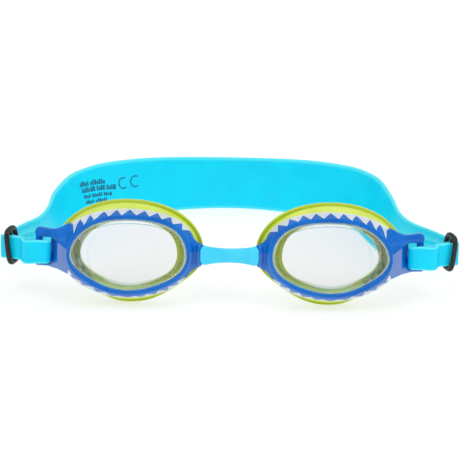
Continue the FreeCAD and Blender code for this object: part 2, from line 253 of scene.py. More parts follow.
def wrap(rings, closed=True):
    """Quads between neighbouring rings of equal length; closed joins the last to the first."""
    count = len(rings[0])
    points = [p for ring in rings for p in ring]
    faces = []
    last = len(rings) if closed else len(rings) - 1
    for j in range(last):
        k = (j + 1) % len(rings)
        for i in range(count):
            n = (i + 1) % count
            faces.append((j * count + i, j * count + n, k * count + n, k * count + i))
    return points, faces


def capped(rings):
    """A tube of rings with a face on each end."""
    points, faces = wrap(rings, closed=False)
    count = len(rings[0])
    faces.append(tuple(range(count)))
    faces.append(tuple(range(len(points) - count, len(points))))
    return points, faces


def apply_modifier(obj, kind, **settings):
    """Adds a modifier, sets it and applies it."""
    modifier = obj.modifiers.new(kind.lower(), kind)
    for key, value in settings.items():
        setattr(modifier, key, value)
    dg = bpy.context.evaluated_depsgraph_get()
    mesh = bpy.data.meshes.new_from_object(obj.evaluated_get(dg))
    obj.modifiers.clear()
    old = obj.data
    obj.data = mesh
    bpy.data.meshes.remove(old)


def joined(parts):
    """One list of points and faces from several."""
    points, faces = [], []
    for part_points, part_faces in parts:
        start = len(points)
        points += part_points
        faces += [tuple(start + i for i in face) for face in part_faces]
    return points, faces


# === materials ===
def new_material(name, **sockets):
    """A Principled material with constants on its own sockets, and its node tree."""
    material = bpy.data.materials.new(name)
    material.use_nodes = True
    shader = material.node_tree.nodes["Principled BSDF"]
    for socket, value in sockets.items():
        shader.inputs[socket.replace("_", " ")].default_value = value
    return material, material.node_tree, shader


def add(tree, kind, inputs=None, **settings):
    """A node with settings, and values or links for its inputs."""
    node = tree.nodes.new(kind)
    for key, value in settings.items():
        setattr(node, key, value)
    for key, value in (inputs or {}).items():
        if hasattr(value, "is_output"):
            tree.links.new(value, node.inputs[key])
        else:
            node.inputs[key].default_value = value
    return node


def noise(tree, scale, detail=3.0, roughness=0.5):
    """Noise fixed to the object's own coordinates, with scale in features per metre."""
    where = add(tree, "ShaderNodeTexCoord")
    return add(tree, "ShaderNodeTexNoise", {
        "Vector": where.outputs["Object"], "Scale": scale, "Detail": detail, "Roughness": roughness})


def ramp(tree, source, stops):
    """A colour ramp with (position, colour) stops."""
    node = add(tree, "ShaderNodeValToRGB", {"Fac": source})
    elements = node.color_ramp.elements
    for element, (position, colour) in zip(elements, stops):
        element.position = position
        element.color = colour
    for position, colour in stops[2:]:
        elements.new(position).color = colour
    return node.outputs["Color"]


def bump(tree, shader, height, strength, distance):
    """Fine surface relief, with its distance in millimetres."""
    node = add(tree, "ShaderNodeBump", {
        "Height": height, "Strength": strength, "Distance": distance * MM})
    tree.links.new(node.outputs["Normal"], shader.inputs["Normal"])


def span(tree, source, low, high):
    """A noise value stretched to run from low to high, for roughness."""
    node = add(tree, "ShaderNodeMapRange", {
        "Value": source, "From Min": 0.3, "From Max": 0.7, "To Min": low, "To Max": high})
    return node.outputs["Result"]


def moulded(name, dark, light, edge, rough, grain=0.02, second=None, **sockets):
    """Moulded plastic or silicone: cloudy colour, a painted highlight on convex edges and a fine skin.

    second is a colour that the mesh's own shade value mixes in."""
    material, tree, shader = new_material(name, **sockets)
    cloud = noise(tree, 90.0, 4.0)
    colour = ramp(tree, cloud.outputs["Fac"], [(0.35, dark), (0.65, light)])
    if second:
        mask = add(tree, "ShaderNodeAttribute", attribute_name="shade")
        colour = mixed(tree, mask.outputs["Fac"], colour, second)
    if edge:
        # edge is a painted highlight: convex edges, found by pointiness, are made lighter
        shape = add(tree, "ShaderNodeNewGeometry")
        pale_edge_highlight = ramp(tree, shape.outputs["Pointiness"], [(0.515, (0, 0, 0, 1)), (0.60, (1, 1, 1, 1))])
        colour = mixed(tree, pale_edge_highlight, colour, edge)
    tree.links.new(colour, shader.inputs["Base Color"])
    skin = noise(tree, 2600.0, 2.0)
    tree.links.new(span(tree, cloud.outputs["Fac"], rough * 0.85, rough * 1.2), shader.inputs["Roughness"])
    bump(tree, shader, skin.outputs["Fac"], 0.25, grain)
    return material


def mixed(tree, factor, first, second):
    """The first colour, with the second where factor is 1."""
    return add(tree, "ShaderNodeMix", {0: factor, 6: first, 7: second}, data_type="RGBA").outputs[2]


def frame_blue():
    """Blue plastic, with a paler blue on the web and lower ring that is a painted reflection of the floor."""
    # The second blue is a painted floor reflection; the edge colour is a painted highlight on rounded edges.
    return moulded("frame_blue", (0.0, 0.12, 0.53, 1), (0.0, 0.165, 0.63, 1), (0.03, 0.30, 0.84, 1), 0.3,
                   second=(0.18, 0.28, 0.60, 1), Specular_IOR_Level=0.22,
                   Coat_Weight=0.05, Coat_Roughness=0.1)


def strap_cyan():
    # second: a paler cyan, the painted highlight along the strap's edges and its fold lines
    return moulded("strap_cyan", (0.0, 0.68, 0.98, 1), (0.0, 0.74, 1.0, 1), None, 0.42,
                   second=(0.10, 0.85, 1.0, 1), Specular_IOR_Level=0.2, Subsurface_Weight=0.1,
                   Subsurface_Radius=(0.0006, 0.0012, 0.0016))


def bridge_cyan():
    return moulded("bridge_cyan", (0.05, 0.66, 0.97, 1), (0.07, 0.72, 1.0, 1), None, 0.36,
                   second=(0.12, 0.85, 1.0, 1), Specular_IOR_Level=0.35, Subsurface_Weight=0.1,
                   Subsurface_Radius=(0.0006, 0.0012, 0.0016))


def gasket_lime():
    # The emission is a painted glow that lifts the gasket where it lies in shade behind the lens.
    return moulded("gasket_lime", (0.56, 0.68, 0.09, 1), (0.64, 0.76, 0.14, 1), None, 0.34,
                   second=(0.36, 0.47, 0.0, 1), Specular_IOR_Level=0.35, Subsurface_Weight=0.4,
                   Subsurface_Radius=(0.0030, 0.0034, 0.0010), Emission_Color=(0.60, 0.72, 0.08, 1),
                   Emission_Strength=0.12)


def teeth_white():
    return moulded("teeth_white", (0.60, 0.66, 0.74, 1), (0.70, 0.76, 0.84, 1), (0.78, 0.84, 0.90, 1), 0.35,
                   Specular_IOR_Level=0.5)


def slider_black():
    return moulded("slider_black", (0.010, 0.010, 0.013, 1), (0.022, 0.021, 0.022, 1),
                   (0.03, 0.025, 0.022, 1), 0.12,
                   Specular_IOR_Level=0.22, Coat_Weight=0.12, Coat_Roughness=0.04)


def print_ink():
    return moulded("print_ink", (0.0, 0.10, 0.24, 1), (0.0, 0.14, 0.30, 1), (0.0, 0.16, 0.32, 1), 0.5,
                   grain=0.005)


def lens_wall():
    """The thick temple wall: clear plastic with olive, grey and white streaks painted along it, as painted
    reflections of the gasket and the light.
    """
    material, tree, shader = new_material(
        "lens_wall", Transmission_Weight=0.5, IOR=1.45, Alpha=0.8, Roughness=0.08)
    where = add(tree, "ShaderNodeTexCoord")
    squeezed = add(tree, "ShaderNodeMapping", {
        "Vector": where.outputs["Object"], "Scale": (700.0, 500.0, 60.0)})
    streak = add(tree, "ShaderNodeTexNoise", {
        "Vector": squeezed.outputs["Vector"], "Scale": 1.0, "Detail": 3.0})
    # painted reflections: olive and grey streaks for the gasket seen through the wall, white ones for light
    painted_reflection_streaks = ramp(tree, streak.outputs["Fac"], [
        (0.38, (0.26, 0.34, 0.07, 1)), (0.52, (0.55, 0.62, 0.38, 1)), (0.62, (0.90, 0.94, 0.92, 1))])
    tree.links.new(painted_reflection_streaks, shader.inputs["Base Color"])
    return material


def lens_bevel_highlight():
    """The window's polished bevel, whose pale colour is a painted highlight round the opening."""
    material, tree, shader = new_material("lens_bevel_highlight", Transmission_Weight=0.1, IOR=1.45, Alpha=0.85)
    haze = noise(tree, 200.0, 3.0)
    gleam = ramp(tree, haze.outputs["Fac"], [(0.35, (0.50, 0.70, 0.85, 1)), (0.65, (0.75, 0.88, 0.95, 1))])
    tree.links.new(gleam, shader.inputs["Base Color"])
    tree.links.new(span(tree, haze.outputs["Fac"], 0.05, 0.15), shader.inputs["Roughness"])
    return material


def lens_clear(name, alpha, tint, roughness):
    """Clear plastic; alpha says how much of it shows."""
    material, tree, shader = new_material(
        name, Base_Color=tint, Transmission_Weight=1.0, IOR=1.45, Alpha=alpha)
    haze = noise(tree, 140.0, 3.0)
    tree.links.new(span(tree, haze.outputs["Fac"], roughness, roughness * 2.5), shader.inputs["Roughness"])
    bump(tree, shader, haze.outputs["Fac"], 0.05, 0.02)
    return material


# === the cup ===
def ring_point(angle, v, grow, flare=0.0):
    """A point of the ring at a distance grow outside the lens opening, angle in degrees."""
    turn = math.radians(angle)
    full = 1 + (swell(turn) - 1) * (1 - 0.8 * flare)
    brow = max(0.0, math.sin(turn)) ** 0.7
    nose = hump(angle, 180, 55)
    a = OPEN_A + grow + flare * (FLARE_A - RIM_WALL + FLARE_UP * brow - 0.8 * nose)
    b = OPEN_B + grow + flare * (FLARE_B - RIM_WALL - 2.0 * nose)
    return Vector((a * math.cos(turn) * full, v, b * math.sin(turn) * full + BROW_RISE * flare))


def ring_surface(angle, share):
    """The ring's visible side: share -0.5 on top of the rim, 0 at its shoulder, 1 at the back edge."""
    if share < 0:
        roll = math.radians(-share * 180)
        grow = RIM_WALL - RIM_ROUND + RIM_ROUND * math.cos(roll)
        return ring_point(angle, RIM_ROUND * (1 - math.sin(roll)), grow)
    return ring_point(angle, RIM_ROUND + (RING_DEPTH - RIM_ROUND) * share, RIM_WALL, share)


def ring_shell():
    around = [360 * i / ROUND_STEPS for i in range(ROUND_STEPS)]
    inside = [(RING_DEPTH, 0.05), (2.0, 0.0), (0.55, 0.0), (0.2, 0.12), (0.04, 0.42), (0.0, 0.8)]
    rings = [[ring_point(angle, v, grow) for angle in around] for v, grow in inside]
    for share in (-0.5, -0.35, -0.2, -0.1, 0.0, 0.35, 0.7, 0.95, 1.0):
        rings.append([ring_surface(angle, share) for angle in around])
    rings.append([ring_point(angle, RING_DEPTH, RIM_WALL - 0.5, 1.0) for angle in around])
    return wrap(rings)


def prism(outline, v_front, v_back, back_outline=None):
    """A closed block over an outline of (u, w) points; the depths are functions of u and w."""
    front = [(u, v_front(u, w), w) for u, w in outline]
    back = [(u, v_back(u, w), w) for u, w in back_outline or outline]
    return capped([front, back])


def rod(u, v, w_low, w_high, radius, steps=20):
    """An upright round bar."""
    return capped([[(u + radius * math.cos(t), v + radius * math.sin(t), w) for t in turns(steps)]
                   for w in (w_low, w_high)])


def opening_arc(first, last, grow, steps=10):
    """Points (u, w) along the lens opening's outside, angles in degrees."""
    places = [ring_point(first + (last - first) * i / steps, 0.0, grow) for i in range(steps + 1)]
    return [(p.x, p.z) for p in places]


def arm_base(u):
    return ARM_FRONT + ARM_SLOPE * max(0.0, u - ARM_FROM)


def ridge(u):
    """The height of the crease along the arm, where the upper facet meets the web."""
    return RIDGE_LOW + RIDGE_CLIMB * smoothstep((u - RIDGE_FROM) / RIDGE_RUN)


def arm_front(u, w):
    """The arm's front is roof-shaped about the ridge."""
    rise = w - ridge(u)
    return arm_base(u) + (FACET_SLOPE if rise > 0 else WEB_SLOPE) * rise


def arm_back(u, w):
    """The arm's back, deeper just beside the slot, where it backs the strap's bend."""
    beside = smoothstep((u - 28.0) / 1.5) * (1 - smoothstep((u - 30.4) / 0.4))
    return arm_base(u) + ARM_THICK + 0.9 + 1.1 * beside


def arm_blocks():
    """The temple arm: an upper facet, a web beside the slot, a lower limb and the post."""
    crest = [(30.8, SLOT_TOP), (29.4, 6.1), (27.9, 5.5), (25.2, 3.9), (23.4, 2.3)]
    top = [(21.6, 8.8), (22.1, 12.2), (24.0, 11.5), (26.0, 10.3), (28.0, 9.6), (30.4, 9.5), (32.6, 9.9),
           (34.4, 10.2), (35.7, 9.6), (36.3, 8.4), (36.1, 7.2), (35.4, SLOT_TOP)]
    upper = opening_arc(4.0, 33.0, 0.45) + top + crest
    beside = [(SLOT_U, 5.2), (SLOT_U + 0.1, -1.0), (SLOT_U + 0.5, -2.4), (SLOT_U + 1.6, SLOT_BOTTOM)]
    behind = [(SLOT_BACK_U, 6.05), (SLOT_BACK_U, -1.4), (SLOT_BACK_U + 0.2, -2.5),
              (SLOT_BACK_U + 1.0, SLOT_BOTTOM)]
    below = [(31.0, -4.9), (27.6, -5.8), (22.7, -8.0), (18.6, -10.3), (13.6, -12.9)]
    inner = opening_arc(-52.0, 6.0, 0.45)
    outline = inner + list(reversed(crest[1:])) + beside + below
    outline_back = inner + list(reversed(crest[1:])) + behind + below
    lower = [(SLOT_U, SLOT_BOTTOM - 0.1), (33.6, SLOT_BOTTOM), (35.6, SLOT_BOTTOM + 0.1), (35.9, -4.5),
             (35.0, -4.9), (33.0, -4.9), (31.0, -5.0), (27.6, -5.9)]
    return [prism(upper, arm_front, arm_back), prism(outline, arm_front, arm_back, outline_back),
            prism(lower, lambda u, w: arm_base(u) + 0.9, arm_back),
            rod(POST_U, POST_V, SLOT_BOTTOM - 0.5, SLOT_TOP + 0.6, POST_R)]


def lug_blocks():
    """The nose lug: two facets that fall back from a crease, and the tongue inside the bridge."""
    arc = opening_arc(146.0, 212.0, 1.0)
    outline = arc + [(-22.6, -8.6), (-24.2, -6.4), (-25.6, -5.1), (-27.2, -4.4), (-28.5, -3.8),
                     (-28.4, -2.6), (-28.1, LUG_W), (-28.4, 3.0), (-31.4, 3.1), (-28.6, 4.4), (-26.4, 5.7),
                     (-24.4, 7.8), (-22.8, 9.4)]

    def front(u, w):
        dish = 1.3 * smoothstep((-u - 23.6) / 1.6) * (1 - smoothstep((-u - 25.6) / 2.2))
        return 0.9 + dish + 0.05 * abs(w)

    middle = [(-24.0, 6.0), (-25.0, 5.4), (-26.2, 4.6), (-27.4, 3.9), (-27.4, -3.2), (-26.2, -3.8),
              (-25.0, -4.6), (-24.0, -5.4)]
    tongue = [(-25.0, 4.2), (-LUG_U, 4.1), (-TONGUE_U, 3.0), (-TONGUE_U, -2.2), (-LUG_U, -3.4), (-25.0, -3.6)]
    return [prism(outline, lambda u, w: 2.0 + 0.05 * abs(w), lambda u, w: 4.6),
            prism(middle, front, lambda u, w: 4.2),
            prism([(-27.0, 4.4), (-28.3, 4.0), (-28.0, LUG_W), (-28.3, -3.2), (-27.0, -3.8), (-26.7, LUG_W)],
                  lambda u, w: 0.7, lambda u, w: 4.2),
            prism(tongue, lambda u, w: 2.5, lambda u, w: 4.2)]


def in_cup(side, place):
    """A point in Blender's metres, in a cup's own directions."""
    p = place / MM
    dy, dz = p.y - CUP_Y, p.z - CUP_Z
    return (side * p.x - CUP_X, dy * math.cos(PITCH) - dz * math.sin(PITCH),
            dy * math.sin(PITCH) + dz * math.cos(PITCH))


def shade(obj, side, rule):
    """Stores a value from 0 to 1 at every point, which the material mixes its colours by."""
    layer = obj.data.attributes.new("shade", "FLOAT", "POINT")
    for vertex in obj.data.vertices:
        layer.data[vertex.index].value = rule(*in_cup(side, vertex.co))


def painted_web_sheen(u, v, w):
    """Painted floor reflection: 1 on the web under the arm's ridge, 0.3 on the lower ring, and none in the
    slot's recess, which stays dark as painted shade.
    """
    below = smoothstep((ridge(u) - 0.3 - w) / 0.5)
    outside = smoothstep((math.hypot(u / (OPEN_A + 0.8), w / (OPEN_B + 0.8)) - 1.0) / 0.02)
    web = smoothstep((u - 13.5) / 4.0)
    # the slot's recess gets none of the pale mix, so it stays dark: painted shade
    recess_shadow = smoothstep((u - SLOT_U + 0.1) / 0.3) * (1 - smoothstep((-3.0 - w) / 1.0))
    return below * outside * (0.3 + 0.7 * web) * (1 - recess_shadow)


def build_frame(name, side, material):
    points, faces = joined([ring_shell()] + arm_blocks() + lug_blocks())
    placed = [cup_point(side, *p) for p in points]
    obj = make_object(f"frame_shell_{name}", placed, faces, [material], sharp=None)
    apply_modifier(obj, "REMESH", mode="VOXEL", voxel_size=VOXEL * MM)
    apply_modifier(obj, "SMOOTH", factor=0.5, iterations=4)
    obj.data.shade_smooth()
    shade(obj, side, painted_web_sheen)
    return obj


def tube(path, radii):
    """A round tube along cup-space points, capped, with a radius at each point."""
    rings = []
    for i, point in enumerate(path):
        along = (Vector(path[min(i + 1, len(path) - 1)]) - Vector(path[max(i - 1, 0)])).normalized()
        side = along.cross(Vector((0, 1, 0))).normalized()
        over = along.cross(side)
        rings.append([Vector(point) + (side * math.cos(t) + over * math.sin(t)) * radii[i] for t in turns(8)])
    return capped(rings)


def window_line():
    """The fine moulded step that curves down the temple side of the window."""
    path, radii = [], []
    for i in range(33):
        share = i / 32 * 2 - 1
        path.append((15.7 - 5.2 * share ** 2, LENS_FRONT + LENS_WALL + 0.1, -0.3 + 10.4 * share))
        radii.append(0.04 + 0.12 * (1 - share ** 2))
    return tube(path, radii)


def temple_wall():
    """The thick clear wall at the temple side of the lens, seen through the window."""
    sheets = []
    columns = range(-WALL_HALF_ANGLE, WALL_HALF_ANGLE + 1, WALL_STEP)
    for thick in (0.0, 0.25):
        rows = []
        for depth, grow_a, grow_b in WALL_ROWS:
            rows.append([])
            for column in columns:
                angle = math.radians(column)
                fade = math.cos(math.radians(column / WALL_HALF_ANGLE * 90)) ** 0.5
                a = OPEN_A - 1.5 + (grow_a + 1.5) * fade + thick
                b = OPEN_B - 1.5 + (grow_b + 1.5) * fade + thick
                rows[-1].append((a * math.cos(angle), depth, b * math.sin(angle)))
        sheets.append(rows)
    outer, inner = sheets
    loops = [[row[c] for row in outer] + [row[c] for row in reversed(inner)] for c in range(len(columns))]
    return capped(loops)


def build_lens(name, side, materials):
    """One clear moulding: a slightly crowned window and a skirt behind it."""
    front, back = [], []
    for share in (0.06, 0.35, 0.65, 0.88, 0.965):
        crown = LENS_FRONT - LENS_CROWN * (1 - share ** 2)
        front.append(oval(crown, (OPEN_A - 0.05) * share, (OPEN_B - 0.05) * share))
        inner_a = (OPEN_A - LENS_WALL) * share
        inner_b = (OPEN_B - LENS_WALL) * share
        back.append(oval(crown + LENS_WALL, inner_a, inner_b))
    edge_a = OPEN_A - LENS_TAPER
    edge_b = OPEN_B - LENS_TAPER
    skirt_rings = [
        oval(LENS_FRONT + 0.12, OPEN_A - 0.35, OPEN_B - 0.35),
        oval(LENS_FRONT + 0.5, OPEN_A - 0.08, OPEN_B - 0.08),
        oval(LENS_BACK - 0.2, edge_a, edge_b, 0.0, SKIRT_YAW),
        oval(LENS_BACK, edge_a - 0.3, edge_b - 0.3, 0.0, SKIRT_YAW),
        oval(LENS_BACK, edge_a - LENS_WALL + 0.3, edge_b - LENS_WALL + 0.3, 0.0, SKIRT_YAW),
        oval(LENS_BACK - 0.2, edge_a - LENS_WALL, edge_b - LENS_WALL, 0.0, SKIRT_YAW),
        oval(LENS_FRONT + LENS_WALL + 0.5, OPEN_A - LENS_WALL - 0.15, OPEN_B - LENS_WALL - 0.15)]
    rings = front + skirt_rings + list(reversed(back))
    moulding = capped(rings)
    extras = [window_line(), temple_wall()]
    points, faces = joined([moulding] + extras)
    placed = [cup_point(side, *p) for p in points]
    obj = make_object(f"lens_moulding_{name}", placed, faces, materials, sharp=40.0)
    edge = (len(front) - 1) * ROUND_STEPS
    first = (len(front) + 1) * ROUND_STEPS
    last = (len(front) + len(skirt_rings) - 2) * ROUND_STEPS
    body = len(moulding[1])
    line = body + len(extras[0][1])
    polygons = obj.data.polygons
    for start, end, part in ((edge, first, BEVEL), (first, last, SKIRT), (body, line, SKIRT),
                             (line, len(polygons), WALL)):
        for polygon in polygons[start:end]:
            polygon.material_index = part
    return obj


def build_gasket(name, side, material):
    """A soft cup: neck behind the ring, a flare with a crease, the face lip, and the seat."""
    def flare(share, v):
        a = OPEN_A + NECK + (FACE_A - OPEN_A - NECK) * share
        b = OPEN_B + NECK + (FACE_B - OPEN_B - NECK) * share
        rise = BROW_RISE + (FACE_RISE - BROW_RISE) * share
        return oval(v, a, b, rise, FACE_YAW * share, 0.6 * (1 - 0.5 * share), min(1.0, 0.5 + share))

    rings = [
        oval(RING_DEPTH + 0.1, OPEN_A + 0.2, OPEN_B + 0.2),
        flare(-0.1, RING_DEPTH + 0.1), flare(0.02, RING_DEPTH + 0.35),
        flare(0.28, 7.0), flare(0.52, 8.4), flare(CREASE - 0.07, 9.2),
        flare(CREASE - 0.02, 9.65), flare(CREASE + 0.02, 9.8), flare(CREASE + 0.05, 9.6),
        flare(0.84, 9.8), flare(0.94, 10.4), flare(1.0, 11.4), flare(1.0, 12.1),
        flare(0.97, FACE_DEPTH), flare(0.88, FACE_DEPTH - 0.1), flare(0.70, 11.7),
        flare(0.30, 11.0), oval(10.2, LIP_A + 3.0, LIP_B + 2.0, 0.1, SKIRT_YAW + 1.0),
        oval(9.8, LIP_A + 0.6, LIP_B + 0.5, 0.0, SKIRT_YAW), oval(9.4, LIP_A, LIP_B, 0.0, SKIRT_YAW),
        oval(8.7, LIP_A, LIP_B, 0.0, SKIRT_YAW),
        oval(LENS_BACK + 0.05, LIP_A + 0.4, LIP_B + 0.3, 0.0, SKIRT_YAW),
        oval(LENS_BACK + 0.05, OPEN_A - LENS_TAPER + 0.1, OPEN_B - LENS_TAPER + 0.1, 0.0, SKIRT_YAW)]
    points, faces = wrap(rings)
    placed = [cup_point(side, *p) for p in points]
    for p in placed:
        p.z = max(p.z, 0.02)
    obj = make_object(f"gasket_cup_{name}", placed, faces, [material], sharp=None)
    apply_modifier(obj, "SUBSURF", levels=1, render_levels=1)
    obj.data.shade_smooth()
    shade(obj, side, gasket_shade)
    return obj


def gasket_shade(u, v, w):
    """0 on the pale flare, 1 on the deeper coloured edge."""
    reach = math.hypot(u / FACE_A, (w - FACE_RISE) / FACE_B)
    return smoothstep((reach - 0.925) / 0.025) * (1 - 0.5 * smoothstep((reach - 0.985) / 0.015))


# --- the zigzag trim: teeth are (angle round the lens, share of the ring's slope) at their tips ---
UPPER_TEETH = [(31.8, -0.12), (46.3, -0.32), (57.8, -0.36), (71.7, -0.38), (83.9, -0.34),
               (97.5, -0.28), (109.3, -0.25), (120.6, -0.25), (131.8, -0.3), (142.6, 0.0)]
UPPER_PEAKS = [42.0, 49.3, 59.0, 70.9, 80.9, 90.9, 102.3, 112.5, 124.0, 135.6, 146.5]
LOWER_TEETH = [(218.1, -0.05), (228.8, -0.05), (240.3, -0.05), (252.5, -0.05), (263.3, -0.05),
               (277.0, -0.05), (290.1, -0.05), (305.1, -0.05), (319.3, 0.3), (333.0, 0.3)]
LOWER_PEAK = 0.95  # share of the slope between two lower teeth
PEAK_SHARE = 0.84  # and between two upper ones
WEB_TOOTH = [(22.8, -6.0), (23.3, -7.7), (21.3, -8.4)]  # the last lower tooth, moulded into the web
TRIM_THICK = 0.3
TRIM_LIFT = 0.16
TRIM_ROWS = 6  # points up each face of the skin
TRIM_STEPS = 6  # columns between two corners


def upper_corners():
    """Corners of the upper trim as (angle, share of the slope, angle at the back edge)."""
    corners = [(UPPER_TEETH[0][0], UPPER_TEETH[0][1], UPPER_PEAKS[0])]
    for i, (angle, share) in enumerate(UPPER_TEETH):
        corners.append((angle, share, (UPPER_PEAKS[i] + UPPER_PEAKS[i + 1]) / 2))
        if i + 1 < len(UPPER_TEETH):
            corners.append((UPPER_PEAKS[i + 1], PEAK_SHARE, UPPER_PEAKS[i + 1]))
    corners.append((UPPER_PEAKS[-1], 0.9, UPPER_PEAKS[-1]))
    return corners


def lower_corners():
    """Corners of the lower trim, in the same form."""
    first, last = LOWER_TEETH[0][0], LOWER_TEETH[-1][0]
    corners = [(first - 6.0, 0.9, first - 6.0)]
    following = [angle for angle, tip in LOWER_TEETH[1:]] + [last + 12.0]
    for (angle, tip), after in zip(LOWER_TEETH, following):
        corners.append((angle, tip, angle))
        middle = (angle + after) / 2
        corners.append((middle, LOWER_PEAK, middle))
    return corners


def trim_skin(side, corners):
    """A thin skin on the ring's slope, between a zigzag free edge and the ring's back edge."""
    columns = []
    for first, second in zip(corners, corners[1:]):
        for i in range(TRIM_STEPS):
            columns.append([a + (b - a) * i / TRIM_STEPS for a, b in zip(first, second)])
    columns.append(list(corners[-1]))
    rings = []
    for angle, share, base in columns:
        top, under = [], []
        for r in range(TRIM_ROWS):
            t = r / (TRIM_ROWS - 1)
            at, depth = angle + (base - angle) * t, share + (1.01 - share) * t
            here = ring_surface(at, depth)
            along = ring_surface(at + 0.5, depth) - ring_surface(at - 0.5, depth)
            down = ring_surface(at, depth + 0.04) - ring_surface(at, depth - 0.04)
            normal = along.cross(down).normalized()
            outward = Vector((here.x, 0, here.z)).normalized() + Vector((0, -1, 0))
            if normal.dot(outward) < 0:
                normal.negate()
            top.append(here + normal * TRIM_LIFT)
            under.append(here + normal * (TRIM_LIFT - TRIM_THICK))
        rings.append([cup_point(side, *p) for p in top + list(reversed(under))])
    return capped(rings)


def build_teeth(name, side, material):
    """The white zigzag trim above and below the lens."""
    pieces = []
    for label, corners in (("upper", upper_corners()), ("lower", lower_corners())):
        points, faces = trim_skin(side, corners)
        if label == "lower":
            tooth, sides = prism(WEB_TOOTH, lambda u, w: arm_front(u, w) - 0.15,
                                 lambda u, w: arm_front(u, w) + 0.5)
            points, faces = joined([(points, faces), ([cup_point(side, *p) for p in tooth], sides)])
        pieces.append(make_object(f"{label}_trim_{name}", points, faces, [material], sharp=50.0))
    return pieces


def build_bridge(material):
    """The soft nose bridge: rounded in section, wide at its ends and narrow between."""
    half = CUP_X - LUG_U - BRIDGE_GAP
    rings = []
    for i in range(BRIDGE_STEPS + 1):
        x = -half + 2 * half * i / BRIDGE_STEPS
        share = abs(x) / half
        high = BRIDGE_WAIST + BRIDGE_SPREAD * share ** 2.2
        pad = smoothstep((share - 0.70) / 0.06)
        front = BRIDGE_FRONT + BRIDGE_CROWN * (1 - share ** 2) - BRIDGE_PAD * pad
        back = BRIDGE_BACK - BRIDGE_THINNING * smoothstep((share - 0.55) / 0.08)
        squeeze = 1.0 - BRIDGE_SQUEEZE * smoothstep((share - 0.93) / 0.07)
        ring = []
        for t in turns(BRIDGE_ROUND):
            c, s = math.cos(t), math.sin(t)
            w = LUG_W + high * squeeze * math.copysign(abs(s) ** 0.45, s)
            v = (front + back) / 2 - (back - front) / 2 * math.copysign(abs(c) ** 0.5, c)
            reach = BRIDGE_END_ROUND * (1 - (s * s)) * smoothstep((share - 0.9) / 0.1)
            ring.append((x + math.copysign(reach, x), v, w))
        rings.append(ring)
    points, faces = capped(rings)
    return make_object("bridge_bar", [pitched(*p) for p in points], faces, [material], sharp=60.0)


# === strap ===
def catmull(points, spacing):
    """A smooth curve through plan points, sampled about every spacing millimetres."""
    points = [Vector(p).to_2d() for p in points]
    ends = [points[0] * 2 - points[1]] + points + [points[-1] * 2 - points[-2]]
    out = []
    for p0, p1, p2, p3 in zip(ends, ends[1:], ends[2:], ends[3:]):
        steps = max(2, round((p2 - p1).length / spacing))
        for i in range(steps):
            t = i / steps
            out.append(0.5 * (2 * p1 + (p2 - p0) * t + (2 * p0 - 5 * p1 + 4 * p2 - p3) * t * t
                              + (3 * p1 - p0 - 3 * p2 + p3) * t ** 3))
    out.append(points[-1])
    return out


def on_loop(d, n):
    """A plan point d along the right loop from its post, n across it towards the back."""
    c, s = math.cos(LOOP_ANGLE), math.sin(LOOP_ANGLE)
    return Vector((POST.x + d * c - n * s, POST.y + d * s + n * c))


def arc(d, n, radius, first, last, count):
    angles = [math.radians(first + (last - first) * i / (count - 1)) for i in range(count)]
    return [(d + radius * math.cos(a), n + radius * math.sin(a)) for a in angles]


def loop_plan():
    """The middle line of the right strap end, from its tail to where the band begins."""
    past = SLIDER_AT + SLIDER_THICK / 2
    front = [(past + TAIL_PAST, -LAYER_OFFSET - 0.1), (SLIDER_AT, -LAYER_OFFSET), (10.0, -LAYER_OFFSET),
             (7.4, -LAYER_OFFSET), (6.2, -2.6), (4.8, -3.8), (2.6, -4.3), (0.4, -4.1)]
    bend = arc(-LOOP_SLACK, 0.0, LOOP_BEND_R, 262.0, 75.0, 9)
    back = [(PARALLEL_FROM, LAYER_OFFSET), (SLIDER_AT / 2 + PARALLEL_FROM / 2, LAYER_OFFSET),
            (SLIDER_AT, LAYER_OFFSET)]
    turn = arc(past + TURN_GAP, LAYER_OFFSET + TURN_R, TURN_R, -90.0, 0.0, 5)
    run = [(past + TURN_GAP + TURN_R, LAYER_OFFSET + TURN_R + TURN_RUN)]
    return [on_loop(d, n) for d, n in front + bend + back + turn + run]


def band_plan():
    """The outer top edge of the band in plan, from the left loop to the right one."""
    start = loop_plan()[-1] + Vector((math.cos(LOOP_ANGLE), math.sin(LOOP_ANGLE))) * STRAP_THICK / 2
    shift = POST.y - (POST_V * math.cos(PITCH) + post_height() * math.sin(PITCH))
    side = [(start.x, start.y)] + [(x, y + shift) for x, y in BAND_PLAN]
    plan = [(-x, y) for x, y in side] + list(reversed(side[:-1]))
    far = side[-1][1]
    return [(x - BAND_BOW * math.sin(math.pi * (y - start.y) / (far - start.y)), y) for x, y in plan]


def post_height():
    """Height of the strap's middle on the post, in a cup's own directions."""
    return (POST.z - CUP_Z + POST_V * math.sin(PITCH)) / math.cos(PITCH)


SECTION_SHARES = [0.0, 0.05, 0.2, 0.46, 0.5, 0.54, 0.68, 0.76, 0.79, 0.82, 0.95, 1.0]  # up each face
FOLD_ROWS = (4, 8)  # of those, the rows of painted highlight lines that stand for folds fanning out from the slider
FOLD_HIGHLIGHT = 0.9
FOLD_START, FOLD_FADE, FOLD_END = 19.0, 30.0, 56.0  # depths where the painted fold highlights start, fade and end
FOLD_GROW = 4.0
SECTION_ROUND = 4  # points round each edge


def strap_section(outer_low, outer_high, across):
    """A rounded-rectangle section between two points of the strap's outer face."""
    up = (outer_high - outer_low).normalized()
    radius = STRAP_THICK / 2
    low = outer_low + across * radius + up * radius * 0.8
    high = outer_high + across * radius - up * radius * 0.8
    ring = []
    for start, end, way in ((low, high, -1), (high, low, 1)):
        ring += [start.lerp(end, share) + across * radius * way for share in SECTION_SHARES]
        for i in range(1, SECTION_ROUND):
            t = math.pi * i / SECTION_ROUND
            ring.append(end + across * radius * way * math.cos(t) - up * radius * 0.8 * way * math.sin(t))
    return ring


